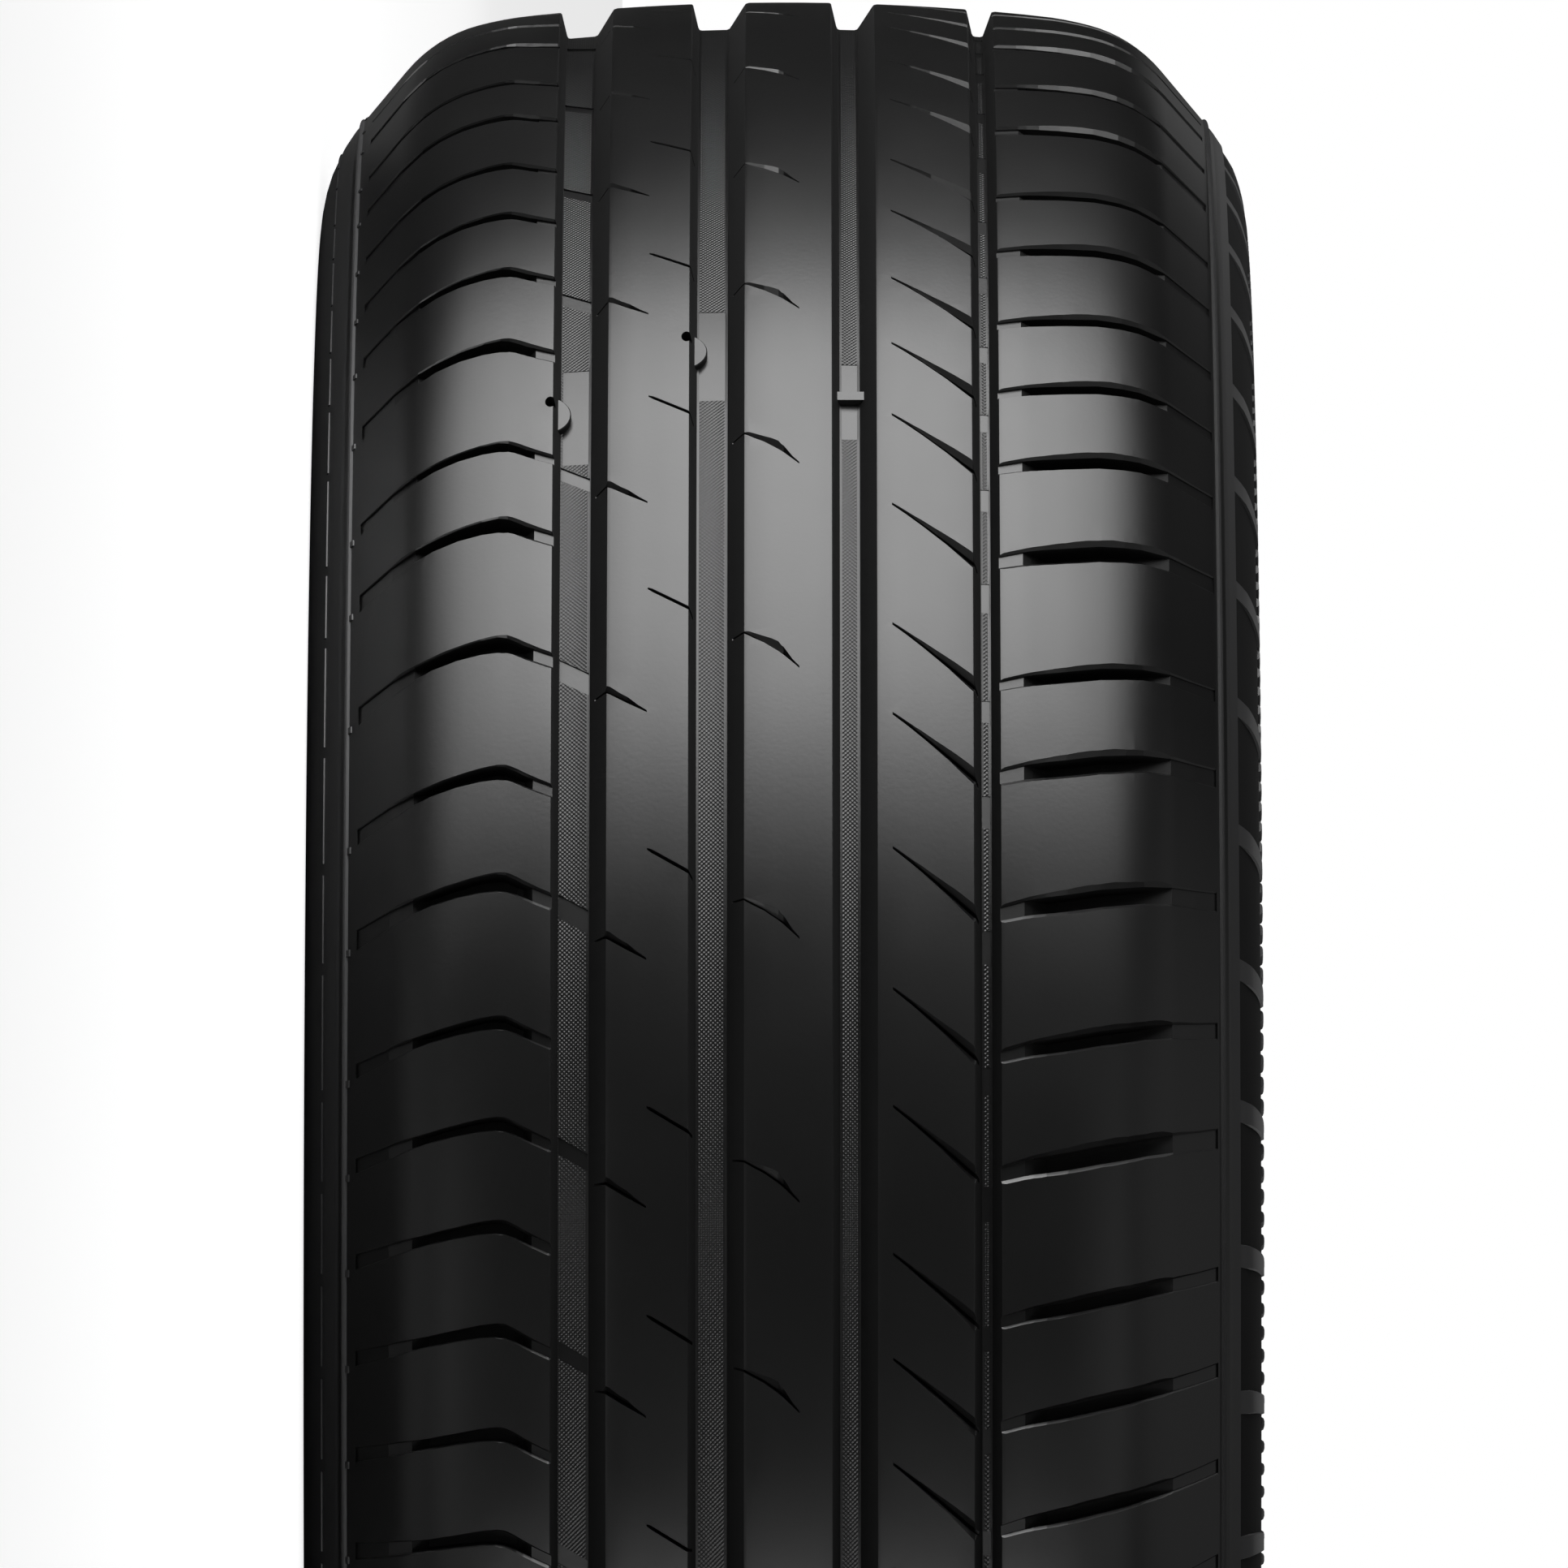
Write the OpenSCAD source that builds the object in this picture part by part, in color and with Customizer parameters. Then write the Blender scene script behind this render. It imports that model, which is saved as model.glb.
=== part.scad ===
// Low-profile car tyre, lying on its sidewall, with the wheel axis along Z.
// The origin is the centre of the wheel. A road-side view from the front sees the tread with
// the sidewall at +Z on the right.

/* [Overall size] */
// Height of the section, from the rim's seat to the middle of the tread
section_h = 98.85; // [92:0.05:106]
// Width over both sidewalls
section_w = 225; // [215:0.5:236]
// Share of the section's height at which the sidewalls are widest
widest_part = 0.405; // [0.38:0.005:0.46]
// Height of the flat band that the widest place leaves to lie on
rest_band_w = 6; // [3:0.5:8]

/* [Rim seat] */
// Diameter of the rim's bead seat at its flange
seat_d = 462; // [456:0.1:465]
// Distance that each sidewall stands out past its rim flange
side_bulge = 17.25; // [15:0.25:20]
// Width of each bead on its seat
bead_w = 20; // [16:0.5:24]
// Rounding of the bead's heel
heel_round = 6.5; // [4:0.5:8]
// Slope of the bead seat, in degrees
seat_slope = 5; // [3:0.5:7]
// Width of the straight land at the bead's toe
land_w = 7; // [5:0.5:9]
// Height of the rim flange above the seat
flange_h = 17.3; // [16:0.1:18.5]
// Radius of the flange's curl, which the lower sidewall follows
flange_curl = 9.5; // [8:0.5:11]

/* [Casing] */
// Rubber and belts under the tread grooves
under_tread = 9; // [7:0.5:12]
// Thickness of the sidewall at its widest place
sidewall_t = 7.5; // [6:0.5:10]
// Share of the way from the rim flange to the widest place at which the guard rib sits
guard_part = 0.41; // [0.35:0.01:0.48]
// Height of the rib that guards the rim over the sidewall beside it
guard_h = 1.2; // [0.6:0.1:2]
// Depth of the matt band set into each sidewall
band_depth = 0.6; // [0.3:0.1:1]
// Share of the upper sidewall that the matt band covers
band_part = 0.6; // [0.5:0.01:0.7]

/* [Crown] */
// Radius of the crown across the tread
crown_round = 590; // [450:5:900]
// Distance across the tyre that the straight buttress takes
buttress_run = 15.5; // [12:0.5:19]
// Radius of the first shoulder arc
shoulder_round = 96; // [80:1:120]
// Radius of the arc at the tread's edge
tread_edge_round = 18; // [12:0.5:22]
// Slope of the buttress outside the tread, in degrees
buttress_slope = 50; // [46:0.5:54]
// Distance from the foot of the buttress out to the widest place
buttress_inset = 8.5; // [7:0.1:11]
// Height of the thin rib along the foot of the buttress
edge_rib_h = 0.7; // [0.4:0.1:1.2]

/* [Main grooves] */
// Depth of the main grooves
tread_depth = 6.5; // [5:0.1:8]
// Middle of the first groove's floor
groove_1_z = -49.1; // [-52:0.1:-46]
// Width of the first groove's floor
groove_1_w = 7.3; // [5:0.1:9]
// Middle of the second groove's floor
groove_2_z = -17; // [-19:0.1:-14]
// Width of the second groove's floor
groove_2_w = 7.4; // [5:0.1:9]
// Middle of the third groove's floor
groove_3_z = 15.4; // [13:0.1:18]
// Width of the third groove's floor
groove_3_w = 4.9; // [3:0.1:7]
// Middle of the fourth groove's floor
groove_4_z = 47.2; // [45:0.1:50]
// Width of the fourth groove's floor
groove_4_w = 2.5; // [2:0.1:4]
// Run of each groove's steep wall, on its left
steep_run = 1.6; // [0.8:0.1:2.4]
// Run of each groove's sloping wall, on its right
slope_run = 4; // [2.4:0.1:5]

/* [Pitches] */
// Length of a small pitch against a medium one
small_pitch = 0.867; // [0.8:0.005:0.95]
// Length of a large pitch against a medium one
large_pitch = 1.232; // [1.1:0.005:1.3]
// Angle at which the row of pitches starts
pitch_start = 200.3; // [180:0.1:220]

/* [Shoulder grooves] */
// Width of a shoulder groove on a medium pitch
left_groove_w = 3; // [2:0.1:4]
// Width of a right shoulder groove on a medium pitch
right_groove_w = 4; // [3:0.1:5]
// Depth of the shoulder grooves
shoulder_depth = 5.5; // [4:0.1:6.5]
// Depth where a shoulder groove fades out towards the sidewall
fade_depth = 1.6; // [1:0.1:2.5]
// Depth over the bridge that ties the blocks beside a main groove
bridge_depth = 2; // [1.2:0.1:3]
// Length of that bridge
bridge_len = 6; // [4:0.5:8]
// Lag of the right shoulder behind the left one, in degrees
right_lag = 12.34; // [11.5:0.02:13]

/* [Sipes] */
// Depth of the sipes in the middle ribs
sipe_depth = 4.5; // [3:0.1:6]
// Width of a plain sipe
sipe_w = 0.8; // [0.6:0.1:1.2]
// Length across the tyre of the wedge and the plain sipe in the second rib
short_sipe = 9.5; // [7:0.1:11]
// Length across the tyre of the hooked sipe in the third rib
hook_sipe = 13; // [11:0.1:15]
// Length across the tyre of the long wedge in the fourth rib
long_sipe = 18.6; // [15:0.1:20]
// Width of the long wedge where it meets its groove
long_sipe_w = 3.6; // [2:0.1:4.5]

/* [Wear marks] */
// Height of the wear marks above the groove floors
wear_h = 1.6; // [1:0.1:2.5]
// Radius of the round wear marks against the steep walls
wear_boss_r = 6.4; // [4:0.1:7]
// Length round the tyre of the wear bars in the third groove
wear_bar_l = 2.8; // [2:0.1:5]
// Radius of the pin hole above each round wear mark
wear_hole_r = 1.2; // [0.8:0.1:1.6]
// Angle of the first set of wear marks
wear_start = 226.8; // [220:0.1:235]

/* [Hidden] */
$fn = 180;

seat_r = seat_d / 2;
outer_r = seat_r + section_h;
half_w = section_w / 2;
widest_r = seat_r + section_h * widest_part;
buttress_half = half_w - buttress_inset;
heel_z = half_w - side_bulge;
toe_z = heel_z - bead_w;
land_r = seat_r - (bead_w - land_w) * tan(seat_slope);
toe_chamfer = 1;
second_slope = 17;
shoulder_half = buttress_half - buttress_run
    - tread_edge_round * (sin(buttress_slope) - sin(second_slope));
crown_half = (shoulder_half - shoulder_round * sin(second_slope)) / (1 - shoulder_round / crown_round);
first_slope = asin(crown_half / crown_round);
clear = 3;

// Steps of each rounded stretch of the section
crown_steps = 5;
edge_steps = 4;
wall_steps = 5;
inner_steps = 9;

// Points are [distance across the tyre, radius]. An arc starts at a point and turns from one
// slope to the next.
function arc_end(from, round, a, b) =
    [from[0] + round * (sin(b) - sin(a)), from[1] - round * (cos(a) - cos(b))];
function arc_points(from, round, a, b, steps) =
    [for (i = [1:steps]) arc_end(from, round, a, a + (b - a) * i / steps)];

crown_mid = [0, outer_r];
crown_end = arc_end(crown_mid, crown_round, 0, first_slope);
shoulder_end = arc_end(crown_end, shoulder_round, first_slope, second_slope);
edge_end = arc_end(shoulder_end, tread_edge_round, second_slope, buttress_slope);
buttress_end = [
    buttress_half,
    edge_end[1] - (buttress_half - edge_end[0]) * tan(buttress_slope)
];

tread_line = concat(
    [crown_mid],
    arc_points(crown_mid, crown_round, 0, first_slope, crown_steps),
    arc_points(crown_end, shoulder_round, first_slope, second_slope, 2),
    arc_points(shoulder_end, tread_edge_round, second_slope, buttress_slope, edge_steps),
    [buttress_end]
);

// Radius of the tread's surface at any distance across the tyre
function tread_r(z) = lookup(abs(z), tread_line);

// Thin rib along the foot of the buttress, measured back up its slope
edge_rib_w = 1.6;
edge_rib_back = 1.6;
function on_buttress(back, proud) = [
    buttress_end[0] - back * cos(buttress_slope) + proud * sin(buttress_slope),
    buttress_end[1] + back * sin(buttress_slope) + proud * cos(buttress_slope)
];
edge_rib = [
    on_buttress(edge_rib_back + edge_rib_w, 0),
    on_buttress(edge_rib_back + edge_rib_w * 0.8, edge_rib_h),
    on_buttress(edge_rib_back + edge_rib_w * 0.2, edge_rib_h),
    on_buttress(edge_rib_back, 0)
];

// Upper sidewall: one arc from the foot of the buttress to the widest place
rest_top = widest_r + rest_band_w / 2;
rest_foot = widest_r - rest_band_w / 2;
wall_rise = buttress_end[1] - rest_top;
wall_run = half_w - buttress_half;
wall_round = (wall_rise * wall_rise + wall_run * wall_run) / (2 * wall_run);
function wall_z(r) = half_w - wall_round + sqrt(wall_round * wall_round - pow(r - rest_top, 2));
band_foot_r = rest_top + 2;
band_top_r = rest_top + wall_rise * band_part;
upper_wall = concat(
    [buttress_end],
    [[wall_z(band_top_r + 1), band_top_r + 1]],
    [for (i = [0:wall_steps])
        let (r = band_top_r + (band_foot_r - band_top_r) * i / wall_steps)
        [wall_z(r) - band_depth, r]],
    [[half_w, rest_top], [half_w, rest_foot]]
);

// Lower sidewall: the guard rib, the hollow for the rim's flange, the heel and the seat
guard_crest = 3;
waist_z = half_w - 0.4 - guard_h;
curl_z = heel_z + flange_curl;
curl_r = seat_r + flange_h - flange_curl;
curl_top = 70;
curl_top_r = curl_r + flange_curl * sin(curl_top);
guard_r = curl_top_r + (rest_foot - curl_top_r) * guard_part;
waist_r = guard_r + (rest_foot - guard_r) * 0.45;
heel_mid = [heel_z - heel_round, seat_r - heel_round * tan(seat_slope) + heel_round / cos(seat_slope)];
lower_wall = concat(
    [[waist_z, waist_r]],
    [[half_w - 0.4, guard_r + guard_crest / 2], [half_w - 0.7, guard_r - guard_crest / 2]],
    [for (i = [0:wall_steps])
        let (a = curl_top * (1 - i / wall_steps))
        [curl_z - flange_curl * cos(a), curl_r + flange_curl * sin(a)]],
    [for (i = [0:edge_steps])
        let (a = (90 - seat_slope) * i / edge_steps)
        [heel_mid[0] + heel_round * cos(a), heel_mid[1] - heel_round * sin(a)]],
    [[toe_z + land_w, land_r], [toe_z + toe_chamfer, land_r], [toe_z, land_r + toe_chamfer]]
);

// Air side: a swelling curve from the toe to the widest place, then a squared-off ellipse
inner_half = half_w - sidewall_t;
inner_top = outer_r - tread_depth - under_tread;
inner_power = 2.6;
toe_top = land_r + toe_chamfer;
inner_wall = concat(
    [for (i = [1:inner_steps])
        let (s = i / inner_steps)
        [toe_z + (inner_half - toe_z) * pow(sin(90 * s), 2), toe_top + (widest_r - toe_top) * s]],
    [for (i = [1:inner_steps])
        let (a = 90 * i / inner_steps)
        [inner_half * pow(cos(a), 2 / inner_power),
         widest_r + (inner_top - widest_r) * pow(sin(a), 2 / inner_power)]]
);

tread_open = [for (p = tread_line) if (p[0] < buttress_half) p];
half_section = concat(tread_open, edge_rib, upper_wall, lower_wall, inner_wall);
last = len(half_section) - 1;

// Main grooves, each as [middle of its floor, width of its floor]
main_grooves = [
    [groove_1_z, groove_1_w],
    [groove_2_z, groove_2_w],
    [groove_3_z, groove_3_w],
    [groove_4_z, groove_4_w]
];
function steep_edge(g) = main_grooves[g][0] - main_grooves[g][1] / 2 - steep_run;
function slope_edge(g) = main_grooves[g][0] + main_grooves[g][1] / 2
    + (g == 3 ? slope_run * 0.55 : slope_run);

// Order of the pitches over a third of the way round: small, medium and large
pitch_order = "SMSSMLSLLMLSSSSSMLLMSLML";
repeats = 3;
pitch_count = repeats * len(pitch_order);
function pitch_size(i) =
    let (kind = pitch_order[i % len(pitch_order)])
    kind == "S" ? small_pitch : (kind == "L" ? large_pitch : 1);
function pitch_sum(n) = n == 0 ? 0 : pitch_size(n - 1) + pitch_sum(n - 1);
medium_angle = 360 / (repeats * pitch_sum(len(pitch_order)));
function pitch_angle(i) = pitch_start + medium_angle * (
    floor(i / len(pitch_order)) * pitch_sum(len(pitch_order)) + pitch_sum(i % len(pitch_order))
);

// Turns a plan drawn as [distance round the tyre, distance across it] to face outwards and
// extrudes it from one radius to another.
module plan_cut(from_r, to_r) {
    rotate([90, 0, 90])
        translate([0, 0, from_r])
            linear_extrude(height = to_r - from_r)
                children();
}

// A strip along a line of stations, each [across, round, width]
module strip(line) {
    polygon(concat(
        [for (p = line) [p[1] - p[2] / 2, p[0]]],
        [for (i = [len(line) - 1:-1:0]) [line[i][1] + line[i][2] / 2, line[i][0]]]
    ));
}

// How far round the tyre a shoulder groove's plan may reach, each way
shoulder_reach = 6 * right_groove_w;

// A groove across the shoulder: its plan, cut down to a floor that follows the tread's surface.
// The floor's stations are each [across, depth].
module shoulder_cut(line, floor_line) {
    intersection() {
        plan_cut(outer_r - (outer_r - widest_r) / 2, outer_r + clear)
            strip(line);
        rotate([90, 0, 0])
            linear_extrude(height = 2 * shoulder_reach, center = true)
                polygon(concat(
                    [for (p = floor_line) [tread_r(p[0]) - p[1], p[0]]],
                    [[outer_r + clear, floor_line[len(floor_line) - 1][0]],
                     [outer_r + clear, floor_line[0][0]]]
                ));
    }
}

// Left shoulder groove: up from the first main groove to a peak, then down and out
left_start = steep_edge(0);
left_peak = left_start - 12.4;
left_stop = -(buttress_half - 4.2);
module left_groove(size) {
    w = left_groove_w * size;
    out = left_stop - left_peak;
    line = [
        [left_start + clear, 6.2, w],
        [left_peak + 4, 1.6, w],
        [left_peak, 0, w],
        [left_peak - 3, 0, w],
        [left_peak + out * 0.3, 1.1, w * 1.05],
        [left_peak + out * 0.6, 3, w * 1.15],
        [left_peak + out * 0.8, 4.5, w * 1.3],
        [left_stop, 6.5, w * 1.4]
    ];
    bridge_foot = left_start - bridge_len;
    fade_start = left_peak + out * 0.62;
    floor_line = [
        [left_start + clear, bridge_depth],
        [bridge_foot, bridge_depth],
        [bridge_foot - 0.5, shoulder_depth],
        [fade_start, shoulder_depth],
        [fade_start - 3, fade_depth],
        [left_stop, fade_depth]
    ];
    shoulder_cut(line, floor_line);
}

// Right shoulder groove: a gentle rise from the fourth main groove to the buttress
right_start = slope_edge(3);
right_stop = buttress_half - 2.8;
module right_groove(size) {
    w = right_groove_w * size;
    out = right_stop - right_start;
    line = [
        [right_start - clear, 0.8, w],
        [right_start, 0, w],
        [right_start + out * 0.3, -3, w * 1.05],
        [right_start + out * 0.58, -6.3, w * 1.15],
        [right_start + out * 0.76, -8.9, w * 1.25],
        [right_stop, -12.6, w * 1.4]
    ];
    bridge_foot = right_start + bridge_len;
    fade_start = right_start + out * 0.68;
    floor_line = [
        [right_start - clear, bridge_depth],
        [bridge_foot, bridge_depth],
        [bridge_foot + 0.5, shoulder_depth],
        [fade_start, shoulder_depth],
        [fade_start + 4, fade_depth],
        [right_stop, fade_depth]
    ];
    shoulder_cut(line, floor_line);
}

// A sipe drawn along its own stations, cut straight down
module sipe(line, depth) {
    low = min([for (p = line) tread_r(p[0])]);
    plan_cut(low - depth, outer_r + clear)
        strip(line);
}

// Second rib: a wedge from the first groove, and a plain sipe into the second one
rib_2_left = slope_edge(0);
rib_2_right = steep_edge(1);
module rib_2_wedge() {
    sipe([
        [rib_2_left - clear, -1.8, 2.4],
        [rib_2_left, 0, 2.4],
        [rib_2_left + short_sipe, 7.6, 0.5]
    ], sipe_depth);
}
module rib_2_sipe() {
    sipe([
        [rib_2_right - short_sipe, 0, sipe_w],
        [rib_2_right + 1, 6.4, sipe_w]
    ], sipe_depth);
}

// Third rib: a hooked sipe off the second groove
rib_3_left = slope_edge(1);
module rib_3_hook() {
    sipe([
        [rib_3_left - clear, -0.9, sipe_w],
        [rib_3_left, 0.2, sipe_w],
        [rib_3_left + hook_sipe * 0.62, 3.3, 2.4],
        [rib_3_left + hook_sipe, 8.6, 0.5]
    ], sipe_depth);
}

// Fourth rib: a long wedge that opens into the fourth groove
rib_4_right = steep_edge(3);
module rib_4_wedge() {
    sipe([
        [rib_4_right - long_sipe, 0, 0.6],
        [rib_4_right, 15.7, long_sipe_w],
        [rib_4_right + 1, 16.6, long_sipe_w]
    ], sipe_depth);
}

// Where each feature sits against the peak of its pitch's left shoulder groove, in degrees
rib_2_wedge_lag = 2.2;
rib_2_sipe_lag = 3.45;
rib_3_hook_lag = 5.65;
rib_4_wedge_lead = 2.9;

module pitch_cuts(i) {
    size = pitch_size(i) * medium_angle * pitch_count / 360;
    rotate([0, 0, pitch_angle(i)]) {
        left_groove(size);
        rotate([0, 0, right_lag])
            right_groove(size);
        rotate([0, 0, right_lag - rib_4_wedge_lead])
            rib_4_wedge();
        if (i % 2 == 0)
            rotate([0, 0, rib_2_wedge_lag])
                rib_2_wedge();
        if (i % 2 == 1) {
            rotate([0, 0, rib_2_sipe_lag])
                rib_2_sipe();
            rotate([0, 0, rib_3_hook_lag])
                rib_3_hook();
        }
    }
}

// Section of one main groove, open above the tread
module groove_section(g) {
    floor_left = main_grooves[g][0] - main_grooves[g][1] / 2;
    floor_right = main_grooves[g][0] + main_grooves[g][1] / 2;
    open = 1 + clear / tread_depth;
    left_top = floor_left + (steep_edge(g) - floor_left) * open;
    right_top = floor_right + (slope_edge(g) - floor_right) * open;
    polygon([
        [tread_r(floor_left) - tread_depth, floor_left],
        [tread_r(floor_right) - tread_depth, floor_right],
        [tread_r(floor_right) + clear, right_top],
        [tread_r(floor_left) + clear, left_top]
    ]);
}

// Six sets of wear marks: a round boss against the steep wall of each of the first two grooves,
// with a pin hole in the rib above it, and a bar across the third groove.
wear_sets = 6;
wear_reach = 2.6;
wear_lags = [0, -3.55, -0.8];
function floor_low(g) = tread_r(main_grooves[g][0]) - tread_depth;
module wear_boss(g) {
    edge = main_grooves[g][0] - main_grooves[g][1] / 2 + wear_reach;
    plan_cut(floor_low(g) - 1, floor_low(g) + wear_h)
        translate([0, edge - wear_boss_r])
            circle(wear_boss_r);
}
module wear_bar(g) {
    plan_cut(floor_low(g) - 1, floor_low(g) + wear_h)
        translate([0, main_grooves[g][0] + 0.3])
            square([wear_bar_l, main_grooves[g][1] + 2.2], center = true);
}
module wear_hole(g) {
    plan_cut(floor_low(g) + wear_h, outer_r + clear)
        translate([0, steep_edge(g) - wear_hole_r * 0.6])
            circle(wear_hole_r);
}
module each_wear_set() {
    for (i = [0:wear_sets - 1])
        rotate([0, 0, wear_start + 360 * i / wear_sets])
            children();
}
module wear_marks() {
    each_wear_set() {
        wear_boss(0);
        rotate([0, 0, wear_lags[1]])
            wear_boss(1);
        rotate([0, 0, wear_lags[2]])
            wear_bar(2);
    }
}
module wear_holes() {
    each_wear_set() {
        wear_hole(0);
        rotate([0, 0, wear_lags[1]])
            wear_hole(1);
    }
}

module casing() {
    rotate_extrude()
        difference() {
            polygon(concat(
                [for (p = half_section) [p[1], p[0]]],
                [for (i = [last - 1:-1:1]) [half_section[i][1], -half_section[i][0]]]
            ));
            for (g = [0:3])
                groove_section(g);
        }
}

module tyre() {
    color([0.09, 0.09, 0.095])
        difference() {
            union() {
                casing();
                wear_marks();
            }
            for (i = [0:pitch_count - 1])
                pitch_cuts(i);
            wear_holes();
        }
}

tyre();
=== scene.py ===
import math

import bpy
import numpy as np
from mathutils import Matrix, Vector


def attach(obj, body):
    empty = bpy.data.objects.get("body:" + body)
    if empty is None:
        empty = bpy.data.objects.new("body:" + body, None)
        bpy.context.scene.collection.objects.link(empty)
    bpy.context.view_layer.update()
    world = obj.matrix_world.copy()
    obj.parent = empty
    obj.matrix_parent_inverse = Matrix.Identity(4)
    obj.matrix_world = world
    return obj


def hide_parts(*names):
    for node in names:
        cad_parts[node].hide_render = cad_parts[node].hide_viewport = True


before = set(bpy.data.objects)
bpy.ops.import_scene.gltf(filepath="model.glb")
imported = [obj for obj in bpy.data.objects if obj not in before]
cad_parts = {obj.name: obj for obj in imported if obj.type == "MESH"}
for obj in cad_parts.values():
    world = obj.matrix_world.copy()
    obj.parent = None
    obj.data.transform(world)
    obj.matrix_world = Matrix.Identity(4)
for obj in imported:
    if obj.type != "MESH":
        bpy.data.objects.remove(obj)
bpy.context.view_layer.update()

MM = 0.001

# Lengths below are in millimetres. "Across" is along the wheel axis, with the right of the
# photo positive; "round" is along the tread, with the bottom of the photo positive.
OUTER_R = 329.82
HALF_W = 112.5
WIDEST_R = 271.0
REST_TOP, REST_FOOT = 274.0, 268.0  # flat ring that the tyre lies on
RING_R = 290.0                      # circle that carries the section as it turns
SEGMENTS = 360

# Tread: a wide crown arc, two narrower arcs that end at the given slopes, a straight buttress.
# A main groove has its middle, the width of its floor and its share of SLOPE_RUN.
CROWN_R, CROWN_HALF = 590.0, 62.0
SHOULDER_R, SHOULDER_SLOPE = 82.2, 15.0
EDGE_R = 34.0
BUTTRESS_HALF = 104.0
BUTTRESS_SLOPE = 50.0
TREAD_DEPTH = 6.5
STEEP_RUN = 1.6                     # across each groove's steep wall
SLOPE_RUN = 4.0                     # across its sloping wall
MAIN_GROOVES = ((-49.1, 7.3, 1.0), (-17.0, 7.4, 1.0), (15.4, 4.9, 1.0), (47.2, 2.5, 0.55))

# Sidewalls
BAND_TOP = 294.4
BAND_DEPTH = 0.6
TEETH_TOP, TEETH_FOOT = 276.4, 272.2
BLADES = 54
TEETH = 324
LINE_R = 292.5                      # broken line on the left sidewall

# Beads, for a rim of 18 by 7.5 inches, and the air side, whose rounding is a power curve
CURL_Z, CURL_MID_R, CURL_R = 104.75, 238.8, 9.5
BEAD_HALF, SEAT_R, SEAT_TAPER = 95.25, 231.0, 5.0
HEEL_R = 6.5
TOE_Z, TOE_R, TOE_CHAMFER = 76.25, 229.863, 1.0
TOE_LAND = 6.0
AIR_HALF, AIR_TOP = 105.0, 314.35
AIR_POWER = 2 / 2.6

# Pitches of three sizes, and the wear marks; angles in degrees
PITCH_ORDER = "SMSSMLSLLMLSSSSSMLLMSLML" * 3
PITCH_SIZES = {"S": 0.867, "M": 1.0, "L": 1.232}
MEDIUM_PITCH = 360 / sum(PITCH_SIZES[size] for size in PITCH_ORDER)
PITCH_START = 200.3
RIGHT_LAG = 12.34
WEAR_START = 226.8
WEAR_SETS = 6
WEAR_LAGS = (0.0, -3.55, -0.8)
WEAR_HEIGHT = 1.6

# Regions of the tyre's surface, in the order of its materials
REGIONS = ("tread", "knurled", "side", "band", "liner", "wall", "rib", "cut", "left_rib_painted_light")

# Rubber finishes and painted light and shade as level, roughness, shine, and the count, slant and height
# of a knurl
FINISHES_AND_PAINTED_LIGHT = {
    "tread": (0.0045, 0.29, 1.0, None),
    "knurled": (0.005, 0.33, 0.95, (1900, 5900, 0.00004)),
    "side": (0.024, 0.4, 1.0, None),
    # The sunken band's darker level and low shine are painted shade.
    "band": (0.007, 0.75, 0.2, None),
    "liner": (0.014, 0.45, 1.0, None),
    # The low shine of the main grooves' walls is painted shade.
    "wall": (0.005, 0.65, 0.5, None),
    # The right edge rib's lighter level is painted light.
    "rib": (0.02, 0.6, 0.5, None),
    # The darker level and low shine of the deep cut faces are painted shade.
    "cut": (0.003, 0.6, 0.4, None),
    # The left edge rib's much lighter level is painted light.
    "left_rib_painted_light": (0.06, 0.5, 0.8, None),
    # The lighter level of the right sidewall's blades and teeth is painted light.
    "blade": (0.04, 0.42, 0.8, None),
}

# The photo's camera, fitted from the sidewalls' widths; pixels, then metres
PHOTO_SIZE_PX = 1932
PHOTO_FOCAL_PX = 32765
PHOTO_DISTANCE = 6.5
PHOTO_AIM_X = -0.139

# Soft lamps in metres: name, place, aim, width, height, brightness
LAMPS = (
    ("low_fill", (1.5, -2.3, 0.0), (0.05, -0.33, 0), 0.9, 1.6, 3.2),
    ("side_fill", (0.3, -3.0, 2.3), (0, -0.3, 0.1), 3.0, 1.6, 0.22),
    ("sky", (0.1, -0.5, 4.2), (0, -0.1, 0), 4.0, 4.0, 0.16),
    ("far_side", (2.4, 1.4, 0.5), (0.2, 0.1, 0), 2.4, 1.6, 1.2),
    ("rim_low", (-0.1, 3.4, 1.0), (-0.1, -0.2, 0.1), 2.6, 0.6, 0.25),
    ("rim", (-0.1, 2.8, 1.9), (-0.1, -0.2, 0.1), 2.6, 1.4, 0.4),
)
# Overhead lamps as length, width and brightness. Each is behind the last and wider, and their
# light adds up in the middle, so that their mirror image fades towards the shoulders.
OVERHEADS = ((1.5, 0.5, 0.66), (1.5, 0.9, 0.66), (1.6, 1.5, 1.1), (1.75, 2.4, 1.1), (1.9, 3.6, 1.15))
WALL_LEVEL = 0.006


# The tyre's section

def arc(start, radius, a, b, steps):
    """Points of an arc that leaves start at slope a and ends at slope b, both in degrees."""
    out = []
    for i in range(1, steps + 1):
        t = math.radians(a + (b - a) * i / steps)
        s = math.radians(a)
        out.append((start[0] + radius * (math.sin(t) - math.sin(s)),
                    start[1] - radius * (math.cos(s) - math.cos(t))))
    return out


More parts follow.
